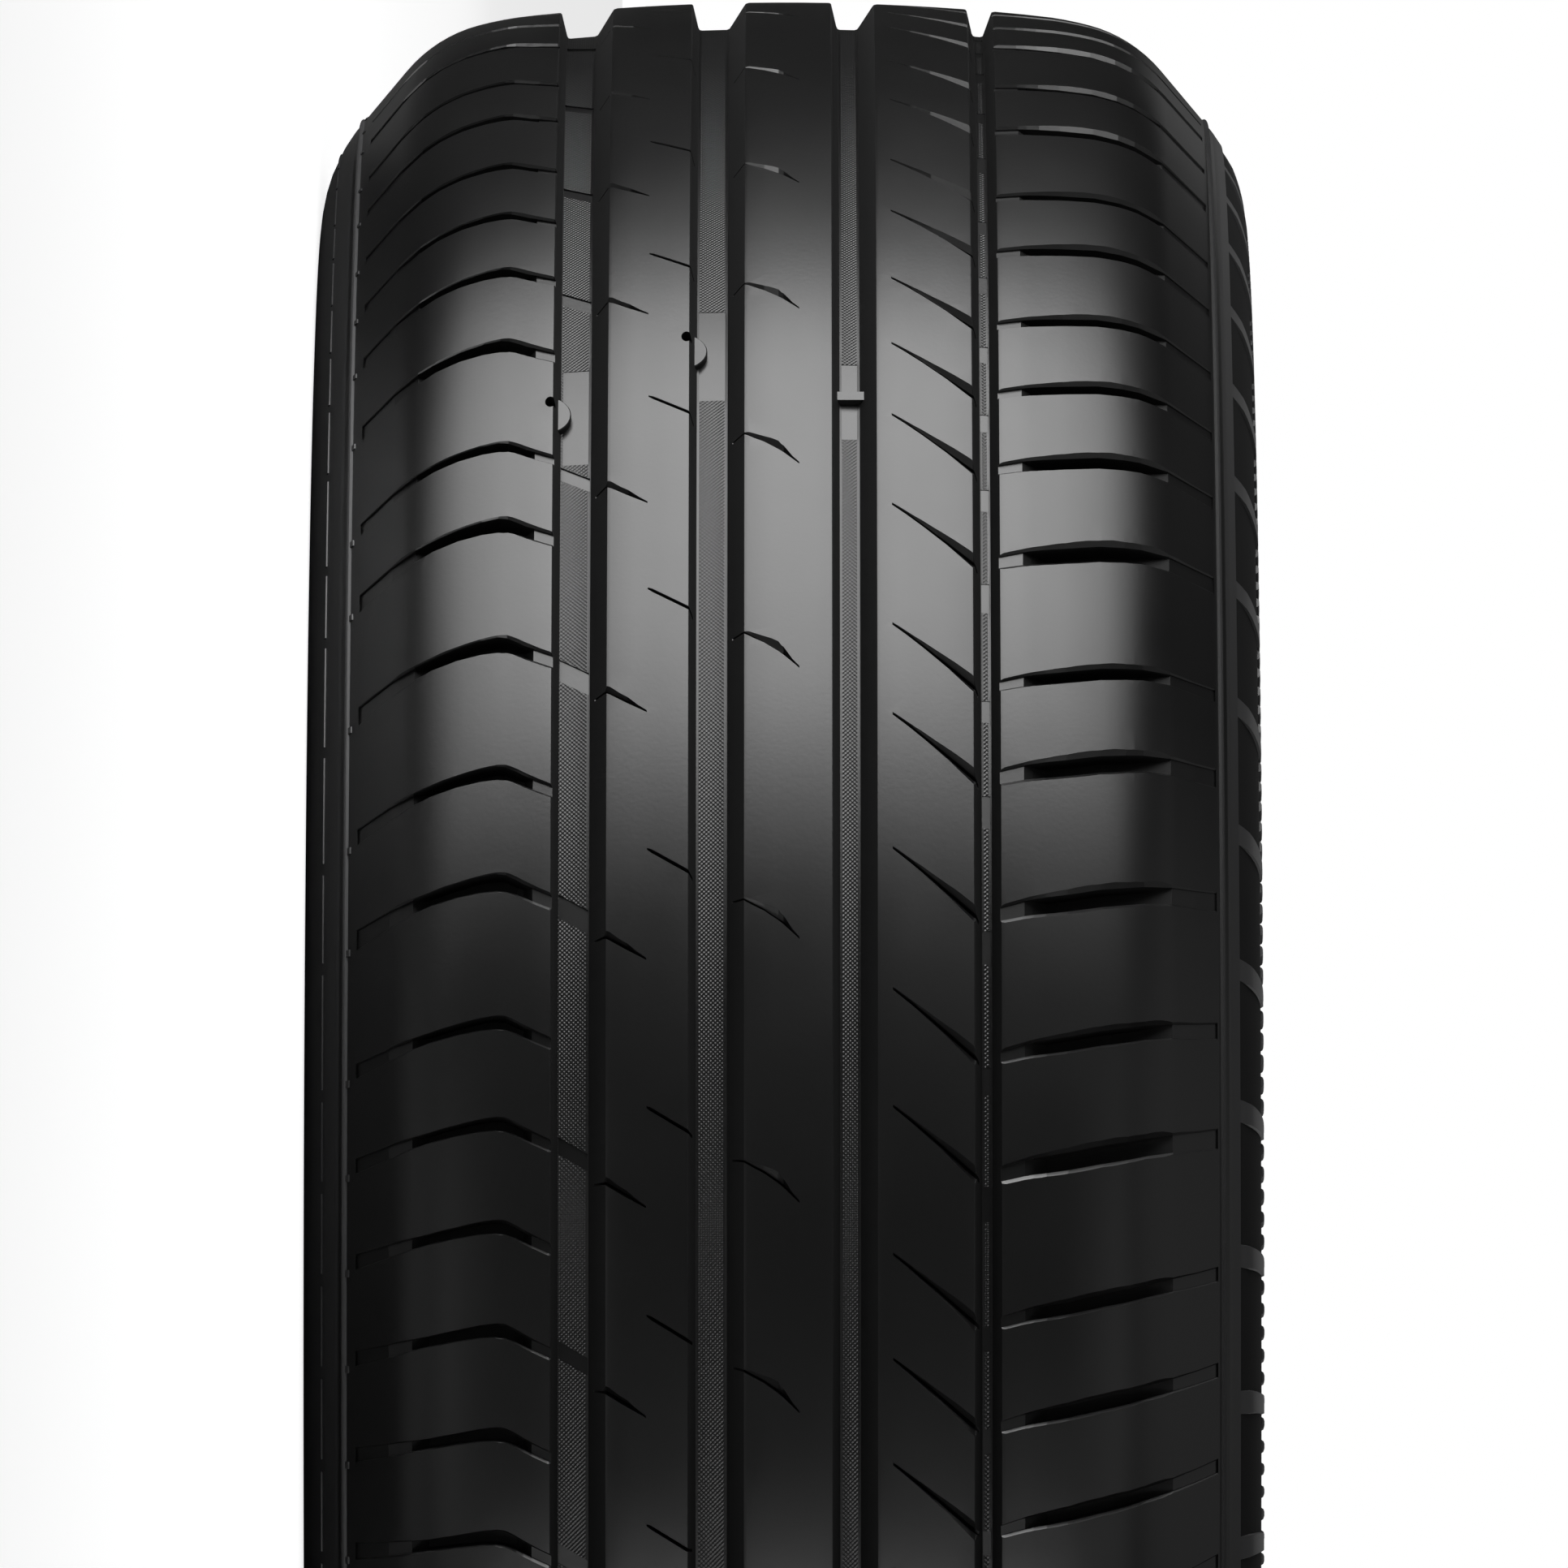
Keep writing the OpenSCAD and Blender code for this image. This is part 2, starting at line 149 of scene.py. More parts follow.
def tread_line():
    """Half of the tread's surface, from its middle to the foot of the buttress."""
    crown_slope = math.degrees(math.asin(CROWN_HALF / CROWN_R))
    line = [(0.0, OUTER_R)]
    line += arc(line[-1], CROWN_R, 0, crown_slope, 12)
    line += arc(line[-1], SHOULDER_R, crown_slope, SHOULDER_SLOPE, 4)
    line += arc(line[-1], EDGE_R, SHOULDER_SLOPE, BUTTRESS_SLOPE, 8)
    z, r = line[-1]
    fall = math.tan(math.radians(BUTTRESS_SLOPE))
    line.append((BUTTRESS_HALF, r - (BUTTRESS_HALF - z) * fall))
    return line


TREAD = tread_line()


def tread_r(z):
    """The tread's radius at a place across it, without its grooves."""
    return float(np.interp(abs(z), [p[0] for p in TREAD], [p[1] for p in TREAD]))


def groove_edges(g):
    """A main groove's outer edge, floor and outer edge, from left to right."""
    middle, width, run = MAIN_GROOVES[g]
    left, right = middle - width / 2, middle + width / 2
    return left - STEEP_RUN, left, right, right + SLOPE_RUN * run


def groove_points(g):
    """A main groove's wall, floor and wall, with rounded edges and corners."""
    out_left, left, right, out_right = groove_edges(g)
    wall = out_right - right
    steps = [
        (out_left - 0.5, 0), (out_left - 0.1, 0.06), (out_left + 0.15, 0.35),
        (left - 0.2, TREAD_DEPTH - 0.8), (left + 0.15, TREAD_DEPTH - 0.15), (left + 0.7, TREAD_DEPTH),
        (right - 0.7, TREAD_DEPTH), (right, TREAD_DEPTH - 0.25),
        (right + wall * 0.15, TREAD_DEPTH * 0.83),
        (out_right - wall * 0.12, TREAD_DEPTH * 0.13), (out_right, 0.22), (out_right + 0.8, 0),
    ]
    return [(z, tread_r(z) - depth) for z, depth in steps]


def tread_points():
    """The whole tread surface, from the left buttress to the right one."""
    last = BUTTRESS_HALF - 3.4      # the edge rib starts beyond this
    edges = [groove_points(g) for g in range(len(MAIN_GROOVES))]
    shoulder = [p[0] for p in TREAD if CROWN_HALF < p[0] < last]
    points = [(-a, tread_r(a)) for a in reversed(shoulder)]
    z = points[-1][0]
    for groove in edges + [None]:
        stop = groove[0][0] if groove else shoulder[0]
        count = max(1, round((stop - z) / 6.5))
        points += [(z + (stop - z) * i / count, tread_r(z + (stop - z) * i / count))
                   for i in range(1, count)]
        if groove:
            points += groove
            z = points[-1][0]
    points += [(a, tread_r(a)) for a in shoulder]
    return points


def edge_rib():
    """Thin rib along the foot of the buttress, right side, going outwards."""
    slope = math.radians(BUTTRESS_SLOPE)
    foot_z, foot_r = TREAD[-1]
    return [(foot_z - back * math.cos(slope) + proud * math.sin(slope),
             foot_r + back * math.sin(slope) + proud * math.cos(slope))
            for back, proud in ((3.2, 0), (2.85, 0.6), (2.4, 0.72), (1.95, 0.6), (1.6, 0), (0, 0))]


def wall_z(r):
    """How far out the sidewall stands at a radius, without its bands."""
    foot_z, foot_r = TREAD[-1]
    rise, run = foot_r - REST_TOP, HALF_W - foot_z
    radius = (rise * rise + run * run) / (2 * run)
    return HALF_W - radius + math.sqrt(radius * radius - (r - REST_TOP) ** 2)


def side_points(banded):
    """A sidewall, from the foot of the buttress down to the toe of the bead. The banded one has
    a sunken band, in which the blades stand, and a sunken ring for the teeth."""
    points = [(wall_z(r), r) for r in (TREAD[-1][1] - 1.2, 298, BAND_TOP + 0.6)]
    if banded:
        points += [(wall_z(r) - BAND_DEPTH, r) for r in (BAND_TOP, 291, 288, 285, 282, 279)]
        outline = ((0.75, TEETH_TOP), (0.7, TEETH_FOOT), (0.7, REST_FOOT), (0.9, 265.5),
                   (1.4, 262.6), (1.5, 260.4), (1.1, 258.6), (0.8, 257.2), (0.9, 255.2))
    else:
        points += [(wall_z(r), r) for r in (BAND_TOP - 0.4, 288, 284, 280, 277)]
        outline = ((0, REST_TOP), (0, 270.0), (0, REST_FOOT), (0.5, 265.5),
                   (1.4, 262.6), (1.5, 260.4), (0.7, 258.6), (0.4, 257.2), (0.6, 255.2))
    points += [(HALF_W - back, r) for back, r in outline]
    return points + bead_points()


def bead_points():
    """The curl above a bead, its rounded heel, and the straight land at its toe."""
    points = []
    for a in (70, 60, 48, 35, 20, 0):
        t = math.radians(a)
        points.append((CURL_Z - CURL_R * math.cos(t), CURL_MID_R + CURL_R * math.sin(t)))
    taper = math.radians(SEAT_TAPER)
    heel_r = SEAT_R - HEEL_R * math.tan(taper) + HEEL_R / math.cos(taper)
    for a in (0, 20, 42, 64, 85):
        t = math.radians(a)
        points.append((BEAD_HALF - HEEL_R + HEEL_R * math.cos(t), heel_r - HEEL_R * math.sin(t)))
    return points + [(TOE_Z + TOE_LAND, TOE_R), (TOE_Z, TOE_R), (TOE_Z - TOE_CHAMFER, TOE_R + TOE_CHAMFER)]


def inner_points():
    """Air side, right half, from the toe of the bead to the middle."""
    toe_z, toe_r = bead_points()[-1]
    points = []
    for i in range(1, 9):
        s = i / 8
        points.append((toe_z + (AIR_HALF - toe_z) * math.sin(math.pi / 2 * s) ** 2,
                       toe_r + (WIDEST_R - toe_r) * s))
    for i in range(1, 10):
        a = math.pi / 2 * i / 9
        points.append((AIR_HALF * math.cos(a) ** AIR_POWER,
                       WIDEST_R + (AIR_TOP - WIDEST_R) * math.sin(a) ** AIR_POWER))
    return points


def section_points():
    """The whole closed section as (across, radius), all the way round."""
    right = edge_rib() + side_points(True) + inner_points()
    left = edge_rib() + side_points(False) + inner_points()
    return tread_points() + right + [(-z, r) for z, r in reversed(left)][1:]


# What is cut into the tread

def cutter(stations, lift=0.8):
    """Sections of a cut along the tread. A station is [across, upper edge, upper chamfer,
    lower edge, lower chamfer, chamfer depth, depth]; the edges are measured round the tyre."""
    sections = []
    for z, up, c_up, low, c_low, c_deep, deep in stations:
        surface = tread_r(z)
        grow = lift / c_deep
        sections.append([
            (z, up - c_up * grow, surface + lift),
            (z, up + c_up, surface - c_deep),
            (z, up + c_up, surface - deep),
            (z, low - c_low, surface - deep),
            (z, low - c_low, surface - c_deep),
            (z, low + c_low * grow, surface + lift),
        ])
    return sections


def left_groove(size):
    """Left shoulder groove: [across, middle, width, upper chamfer, lower chamfer, depths]."""
    rows = (
        (-99.8, 7.1, 4.6, 0.2, 0.2, 0.25, 0.7), (-92.0, 5.2, 3.9, 0.2, 0.2, 0.25, 0.8),
        (-86.5, 3.8, 3.3, 0.2, 0.25, 0.3, 1.4), (-82.5, 2.95, 3.0, 0.15, 0.25, 0.4, 5.5),
        (-76.6, 1.75, 3.2, 0.15, 0.25, 0.4, 5.5), (-71.0, 0.75, 3.6, 0.15, 0.25, 0.4, 5.5),
        (-67.0, 0.4, 4.0, 0.2, 0.3, 0.4, 5.5), (-64.8, 0.6, 4.1, 0.4, 0.3, 0.6, 5.5),
        (-62.2, 1.8, 4.1, 0.6, 0.6, 0.7, 5.5), (-60.6, 2.75, 4.0, 0.6, 0.7, 0.7, 4.5),
        (-58.6, 3.8, 3.9, 0.5, 0.7, 0.6, 1.1), (-54.6, 5.7, 3.7, 0.4, 0.7, 0.6, 1.0),
        (-51.6, 7.2, 3.6, 0.4, 0.7, 0.6, 1.0),
    )
    return shoulder(rows, size)


def right_groove(size):
    """Right shoulder groove, with a chamfer along each edge."""
    rows = (
        (47.6, 1.3, 3.6, 0.3, 0.7, 0.6, 0.9), (50.4, 0.3, 3.7, 0.3, 0.72, 0.6, 0.9),
        (56.0, -1.3, 4.2, 0.4, 0.75, 0.65, 1.0), (58.0, -1.8, 4.4, 0.5, 0.75, 0.7, 2.6),
        (61.0, -2.4, 4.7, 0.6, 0.75, 0.8, 5.5),
        (66.0, -3.4, 5.0, 0.8, 0.75, 0.9, 5.5), (74.0, -5.3, 5.2, 0.9, 0.7, 0.9, 5.5),
        (80.0, -6.6, 5.1, 0.9, 0.65, 0.9, 5.5), (84.0, -7.7, 4.9, 0.8, 0.6, 0.9, 4.6),
        (90.5, -9.3, 4.3, 0.4, 0.4, 0.4, 0.9), (96.0, -10.9, 4.4, 0.3, 0.35, 0.3, 0.7),
        (101.2, -12.8, 4.5, 0.3, 0.3, 0.3, 0.6),
    )
    return shoulder(rows, size)


def shoulder(rows, size):
    """Stations of a shoulder groove whose widths and chamfers grow with its pitch."""
    stations = []
    for z, middle, width, c_up, c_low, c_deep, deep in rows:
        w = width * size
        stations.append((z, middle - w / 2, c_up * size, middle + w / 2, c_low * size, c_deep, deep))
    return cutter(stations)


def rib_2_wedge(size):
    """Wedge in the second rib: a narrow slot along its lower edge, a chamfer above it."""
    z = groove_edges(0)[3]
    return cutter((
        (z - 3.0, 0.2, 0.1, 0.9, 0.1, 0.3, 4.5), (z - 0.9, 0.3, 0.1, 1.1, 0.1, 0.3, 4.5),
        (z + 0.1, -1.0, 1.3, 1.25, 0.15, 1.3, 4.5), (z + 5.0, 2.5, 0.6, 4.2, 0.12, 0.9, 4.5),
        (z + 9.4, 6.1, 0.08, 6.65, 0.08, 0.3, 4.0),
    ))


def rib_2_sipe(size):
    """Narrow sipe in the second rib, between two wedges."""
    z = groove_edges(1)[0]
    return cutter((
        (z - 9.6, -0.15, 0.05, 0.35, 0.05, 0.2, 4.0), (z - 8.5, 0.2, 0.1, 1.2, 0.1, 0.25, 4.5),
        (z + 1.0, 6.0, 0.1, 7.05, 0.1, 0.25, 4.5),
    ))


def rib_3_hook(size):
    """Hooked sipe in the third rib: a narrow slot below a chamfer that is widest at the bend."""
    z = groove_edges(1)[3]
    return cutter((
        (z - 3.0, -0.9, 0.1, -0.2, 0.1, 0.25, 4.5), (z, -0.2, 0.15, 0.6, 0.1, 0.3, 4.5),
        (z + 4.6, 1.3, 1.1, 3.1, 0.12, 0.9, 4.5), (z + 8.0, 2.8, 1.9, 5.5, 0.12, 1.2, 4.5),
        (z + 9.2, 4.3, 1.3, 6.5, 0.12, 1.1, 4.5), (z + 12.9, 9.5, 0.1, 10.1, 0.08, 0.3, 4.0),
    ))


def rib_4_wedge(size):
    """Long wedge in the fourth rib: a narrow slot between two chamfers that widen."""
    z = groove_edges(3)[0]
    return cutter((
        (z - 19.0, -0.25, 0.08, 0.45, 0.08, 0.3, 4.0), (z - 14.0, 3.4, 0.3, 4.7, 0.25, 0.5, 4.5),
        (z - 9.3, 6.8, 0.8, 9.0, 0.6, 0.9, 4.5), (z, 13.8, 1.8, 18.3, 1.6, 1.4, 4.5),
        (z + 1.0, 14.6, 1.9, 19.3, 1.7, 1.4, 4.5),
    ))


def floor_strip(size):
    """Smooth strip sunk into the knurled floor of the first groove, in line with the wedge."""
    _, left, right, _ = groove_edges(0)
    w = 5.2 * size
    stations = []
    for z, middle in ((left + 0.2, 6.2), (right - 0.2, 10.4)):
        stations.append((z, middle - w / 2, 0.15, middle + w / 2, 0.15, 6.4, TREAD_DEPTH + 0.35))
    return floor_cutter(stations)


def floor_gap(size):
    """Smooth stretch in the knurled floor of the fourth groove, below each crossing."""
    _, left, right, _ = groove_edges(3)
    stations = [(z, 3.5 * size, 0.1, 10.5 * size, 0.1, 6.4, TREAD_DEPTH + 0.12)
                for z in (left + 0.3, right - 0.3)]
    return floor_cutter(stations)


def floor_cutter(stations):
    """Sections of a cut in a groove's floor, which stay below the tread."""
    return [[p for p in section if p[2] < OUTER_R - 5] for section in cutter(stations, -5.2)]


def prism(outline, low_r, high_r):
    """Two sections that make a prism facing outwards over an outline of (across, round)."""
    return [[(z, s, low_r) for z, s in outline], [(z, s, high_r) for z, s in outline]]


def disc(z, radius, steps=28):
    """A round outline of (across, round)."""
    turns = [2 * math.pi * i / steps for i in range(steps)]
    return [(z + radius * math.sin(t), radius * math.cos(t)) for t in turns]


def floor_r(g):
    """Radius of a main groove's floor."""
    return tread_r(MAIN_GROOVES[g][0]) - TREAD_DEPTH


def wear_boss(g):
    """Round wear mark that stands on a groove's floor against its steep wall."""
    radius, rounding = 6.4, 0.25
    middle = groove_edges(g)[1] + 2.6 - radius
    low = floor_r(g)
    outline, inner = disc(middle, radius), disc(middle, radius - rounding)
    return [[(z, s, low - 1) for z, s in outline],
            [(z, s, low + WEAR_HEIGHT - rounding) for z, s in outline],
            [(z, s, low + WEAR_HEIGHT) for z, s in inner]]


def wear_bar(g):
    """Bar across a groove's floor, as high as the round wear marks."""
    _, left, right, _ = groove_edges(g)
    outline = [(left - 0.8, -1.4), (right + 1.4, -1.4), (right + 1.4, 1.4), (left - 0.8, 1.4)]
    return prism(outline, floor_r(g) - 1, floor_r(g) + WEAR_HEIGHT)


def wear_hole(g):
    """Small hole in the rib beside a round wear mark."""
    outline = [(z, s * 1.4) for z, s in disc(groove_edges(g)[0] - 0.7, 1.25, 20)]
    return prism(outline, floor_r(g) + WEAR_HEIGHT, OUTER_R + 1)


def plain_patch(g, start, stop):
    """Smooth stretch of a groove's floor, sunk a hair below the knurled floor beside it."""
    _, left, right, _ = groove_edges(g)
    sections = []
    steps = max(2, round((stop - start) / 3))
    low, high = left + 0.6, right - 0.6
    for i in range(steps + 1):
        s = start + (stop - start) * i / steps
        sections.append([(z, s, tread_r(z) - TREAD_DEPTH + lift)
                         for z, lift in ((low, 0.4), (high, 0.4), (high, -0.12), (low, -0.12))])
    return sections


def side_blade():
    """Curved blade in the right sidewall's band, level with the wall outside the band."""
    sections = []
    for i in range(9):
        t = i / 8
        r = BAND_TOP - 0.4 + (TEETH_TOP + 0.5 - BAND_TOP) * t
        middle, half = 1.5 * t * t, 3.3 - 0.6 * t
        top = wall_z(r) - 0.03 - 0.55 * max(0, 1 - 4 * t)
        sections.append([(top - 1.2, middle - half - 0.3, r), (top, middle - half + 0.3, r),
                         (top, middle + half - 0.3, r), (top - 1.2, middle + half + 0.3, r)])
    return sections


def side_tooth():
    """One of the small teeth round the right sidewall's widest place."""
    sections = []
    for r, shift in ((TEETH_TOP, 0.0), ((TEETH_TOP + TEETH_FOOT) / 2, 0.25), (TEETH_FOOT, 0.9)):
        top = min(wall_z(r), HALF_W) - 0.02
        sections.append([(top - 1.3, shift - 2.2, r), (top - 0.2, shift - 1.3, r), (top, shift - 0.6, r),
                         (top, shift + 0.6, r), (top - 0.2, shift + 1.3, r), (top - 1.3, shift + 2.2, r)])
    return sections


def side_line(size):
    """Raised line on the left sidewall, as long as its pitch but for a gap."""
    r = LINE_R
    z = wall_z(r)
    slope = math.atan2(wall_z(r - 1) - wall_z(r + 1), 2)
    out_z, out_r = math.cos(slope), math.sin(slope)
    length = math.radians(MEDIUM_PITCH * size) * OUTER_R
    sections = []
    for i in range(6):
        at = 14.0 + (length - 3.4) * i / 5
        sections.append([(-(z + out_z * up - out_r * side), at, r + out_r * up + out_z * side)
                         for up, side in ((-0.5, -0.5), (0.2, -0.25), (0.2, 0.25), (-0.5, 0.5))])
    return sections


def side_tab():
    """Small block against the left edge rib, below the end of each shoulder groove."""
    slope = math.radians(BUTTRESS_SLOPE)
    foot_z, foot_r = TREAD[-1]
    sections = []
    for at in (10.4, 12.2):
        sections.append([(-(foot_z - back * math.cos(slope) + proud * math.sin(slope)), at,
                          foot_r + back * math.sin(slope) + proud * math.cos(slope))
                         for back, proud in ((2.4, -0.5), (2.5, 0.35), (4.0, 0.3), (4.4, -0.5))])
    return sections


def loft(name, sections):
    """A closed mesh through sections of (across, round, radius) points."""
    count = len(sections[0])
    verts = []
    for section in sections:
        for z, s, r in section:
            a = s / OUTER_R
            verts.append((r * math.cos(a) * MM, r * math.sin(a) * MM, z * MM))
    faces = [tuple(range(count)), tuple(reversed(range(len(verts) - count, len(verts))))]
    for i in range(len(sections) - 1):
        for j in range(count):
            a, b = i * count + j, i * count + (j + 1) % count
            faces.append((b, a, a + count, b + count))
    mesh = bpy.data.meshes.new(name)
    mesh.from_pydata(verts, [], faces)
    if signed_volume(mesh) < 0:
        mesh.flip_normals()
    return bpy.data.objects.new(name, mesh)


def signed_volume(mesh):
    """Six times a closed mesh's volume; negative where its faces point inwards."""
    mesh.calc_loop_triangles()
    total = 0.0
    for t in mesh.loop_triangles:
        a, b, c = (mesh.vertices[i].co for i in t.vertices)
        total += a.dot(b.cross(c))
    return total


def wear_tools():
    """What is added to the tread and taken from it at each set of wear marks."""
    first, second, third = WEAR_LAGS
    degree = math.radians(1) * OUTER_R
    added = [("boss_1", wear_boss(0), first), ("boss_2", wear_boss(1), second),
             ("bar", wear_bar(2), third)]
    taken = [("hole_1", wear_hole(0), first), ("hole_2", wear_hole(1), second)]
    patches = [("patch_1", plain_patch(0, -2.95 * degree, 2.65 * degree), first),
               ("patch_2", plain_patch(1, -2.9 * degree, 2.75 * degree), second),
               ("patch_3", plain_patch(2, -2.2 * degree, 2.3 * degree), third)]
    return added, taken, patches


# Each cut as its maker, its lag in degrees, the sizes it is made in, and whether it is in even
# or odd pitches only. A maker takes its pitch's size; the wedges and sipes have one size.
CUTS = (
    (left_groove, 0.25, "SML", None),
    (right_groove, RIGHT_LAG + 0.36, "SML", None),
    (rib_4_wedge, RIGHT_LAG - 2.4, "M", None),
    (rib_2_wedge, 2.7, "M", 0),
    (rib_2_sipe, 3.95, "M", 1),
    (rib_3_hook, 6.15, "M", 1),
    (floor_strip, 0.0, "SML", 0),
    (floor_gap, RIGHT_LAG, "SML", None),
)


def cut_tools():
    """A collection with one object per cut and size, in the order that the places use."""
    tools = bpy.data.collections.new("cut_tools")
    for kind, (maker, _, sizes, _) in enumerate(CUTS):
        for n, size in enumerate(sizes):
            label = "cut_%d_%d_%s" % (kind, n, maker.__name__)
            tools.objects.link(loft(label, maker(PITCH_SIZES[size])))
    return tools


def pitches():
    """Each pitch's number, size and place in degrees."""
    angle = PITCH_START
    for i, size in enumerate(PITCH_ORDER):
        yield i, size, angle
        angle += MEDIUM_PITCH * PITCH_SIZES[size]


def cut_places():
    """One point per cut, with its turn about the axis and the tool that makes it."""
    turns, picks = [], []
    for i, size, angle in pitches():
        first = 0
        for _, lag, sizes, parity in CUTS:
            if parity is None or i % 2 == parity:
                turns.append(math.radians(angle + lag))
                picks.append(first + (sizes.index(size) if len(sizes) > 1 else 0))
            first += len(sizes)
    return point_object("cut_places", turns, picks)


def side_places():
    """The right sidewall's blades and teeth, and the left one's lines and tabs."""
    right = bpy.data.collections.new("right_side")
    right.objects.link(loft("side_0_blade", side_blade()))
    right.objects.link(loft("side_1_tooth", side_tooth()))
    turns = [math.radians(5.6 + 360 / BLADES * i) for i in range(BLADES)]
    turns += [math.radians(2.3 + 360 / TEETH * i) for i in range(TEETH)]
    right_places = point_object("right_side_places", turns, [0] * BLADES + [1] * TEETH)

    left = bpy.data.collections.new("left_side")
    for n, size in enumerate("SML"):
        left.objects.link(loft("side_%d_line" % n, side_line(PITCH_SIZES[size])))
    left.objects.link(loft("side_3_tab", side_tab()))
    turns, picks = [], []
    for _, size, angle in pitches():
        turns += [math.radians(angle)] * 2
        picks += ["SML".index(size), 3]
    return right, right_places, left, point_object("left_side_places", turns, picks)


def wear_set(name, tools):
    """Tools of the wear marks, and the places of each round the tyre."""
    made = bpy.data.collections.new(name)
    turns, picks = [], []
    for n, (label, sections, lag) in enumerate(tools):
        made.objects.link(loft("%s_%d_%s" % (name, n, label), sections))
        for i in range(WEAR_SETS):
            turns.append(math.radians(WEAR_START + lag + 360 / WEAR_SETS * i))
            picks.append(n)
    return made, point_object(name + "_places", turns, picks)


def point_object(name, turns, picks):
    """Points that say how far each tool is turned about the axis, and which tool it is."""
    mesh = bpy.data.meshes.new(name)
    mesh.from_pydata([(0, 0, 0)] * len(turns), [], [])
    mesh.attributes.new("turn", "FLOAT", "POINT").data.foreach_set("value", turns)
    mesh.attributes.new("pick", "INT", "POINT").data.foreach_set("value", picks)
    return bpy.data.objects.new(name, mesh)


# Node helpers

def add(tree, kind, inputs=None, **props):
    """Adds a node; each input is a value or another node's output socket."""
    node = tree.nodes.new(kind)
    for key, value in props.items():
        setattr(node, key, value)
    for key, value in (inputs or {}).items():
        if isinstance(value, bpy.types.NodeSocket):
            tree.links.new(value, node.inputs[key])
        else:
            node.inputs[key].default_value = value
    return node


def group_tree(name, kind, inputs, outputs):
    """A node group with the given sockets: {name: (type, default)} and {name: type}."""
    tree = bpy.data.node_groups.new(name, kind)
    for label, (socket, default) in inputs.items():
        made = tree.interface.new_socket(label, in_out="INPUT", socket_type=socket)
        if default is not None:
            made.default_value = default
    for label, socket in outputs.items():
        tree.interface.new_socket(label, in_out="OUTPUT", socket_type=socket)
    start = tree.nodes.new("NodeGroupInput")
    end = tree.nodes.new("NodeGroupOutput")
    return tree, start, end


def run_nodes(name, tree, values):
    """Evaluates a Geometry Nodes tree with the given inputs and returns the mesh as an object."""
    holder = bpy.data.objects.new(name + "_rule", bpy.data.meshes.new(name + "_rule"))
    bpy.context.scene.collection.objects.link(holder)
    modifier = holder.modifiers.new(name, "NODES")
    modifier.node_group = tree
    for item in tree.interface.items_tree:
        if item.in_out == "INPUT" and item.name in values:
            modifier[item.identifier] = values[item.name]
    depsgraph = bpy.context.evaluated_depsgraph_get()
    mesh = bpy.data.meshes.new_from_object(holder.evaluated_get(depsgraph), depsgraph=depsgraph)
    mesh.name = name
    bpy.data.objects.remove(holder)
    made = bpy.data.objects.new(name, mesh)
    bpy.context.scene.collection.objects.link(made)
    return made


def placed(tree, points, tools):
    """Nodes that put the picked tool at each point's turn about the wheel axis."""
    turn = add(tree, "GeometryNodeInputNamedAttribute", {"Name": "turn"}, data_type="FLOAT")
    pick = add(tree, "GeometryNodeInputNamedAttribute", {"Name": "pick"}, data_type="INT")
    spin = add(tree, "FunctionNodeAxisAngleToRotation",
               {"Axis": (0, 0, 1), "Angle": turn.outputs["Attribute"]})
    info = add(tree, "GeometryNodeCollectionInfo",
               {"Collection": tools, "Separate Children": True, "Reset Children": True})
    place = add(tree, "GeometryNodeObjectInfo", {"Object": points})
    return add(tree, "GeometryNodeInstanceOnPoints", {
        "Points": place.outputs["Geometry"], "Instance": info.outputs[0], "Pick Instance": True,
        "Instance Index": pick.outputs["Attribute"], "Rotation": spin.outputs[0]})


def carve(tree, mesh, tools, operation):
    """Takes the placed tools from a closed mesh, or adds them to it."""
    solid = add(tree, "GeometryNodeRealizeInstances", {"Geometry": tools})
    made = add(tree, "GeometryNodeMeshBoolean", operation=operation, solver="MANIFOLD")
    first = made.inputs["Mesh 1"] if operation == "DIFFERENCE" else made.inputs["Mesh 2"]
    tree.links.new(mesh, first)
    tree.links.new(solid.outputs[0], made.inputs["Mesh 2"])
    return made.outputs[0]


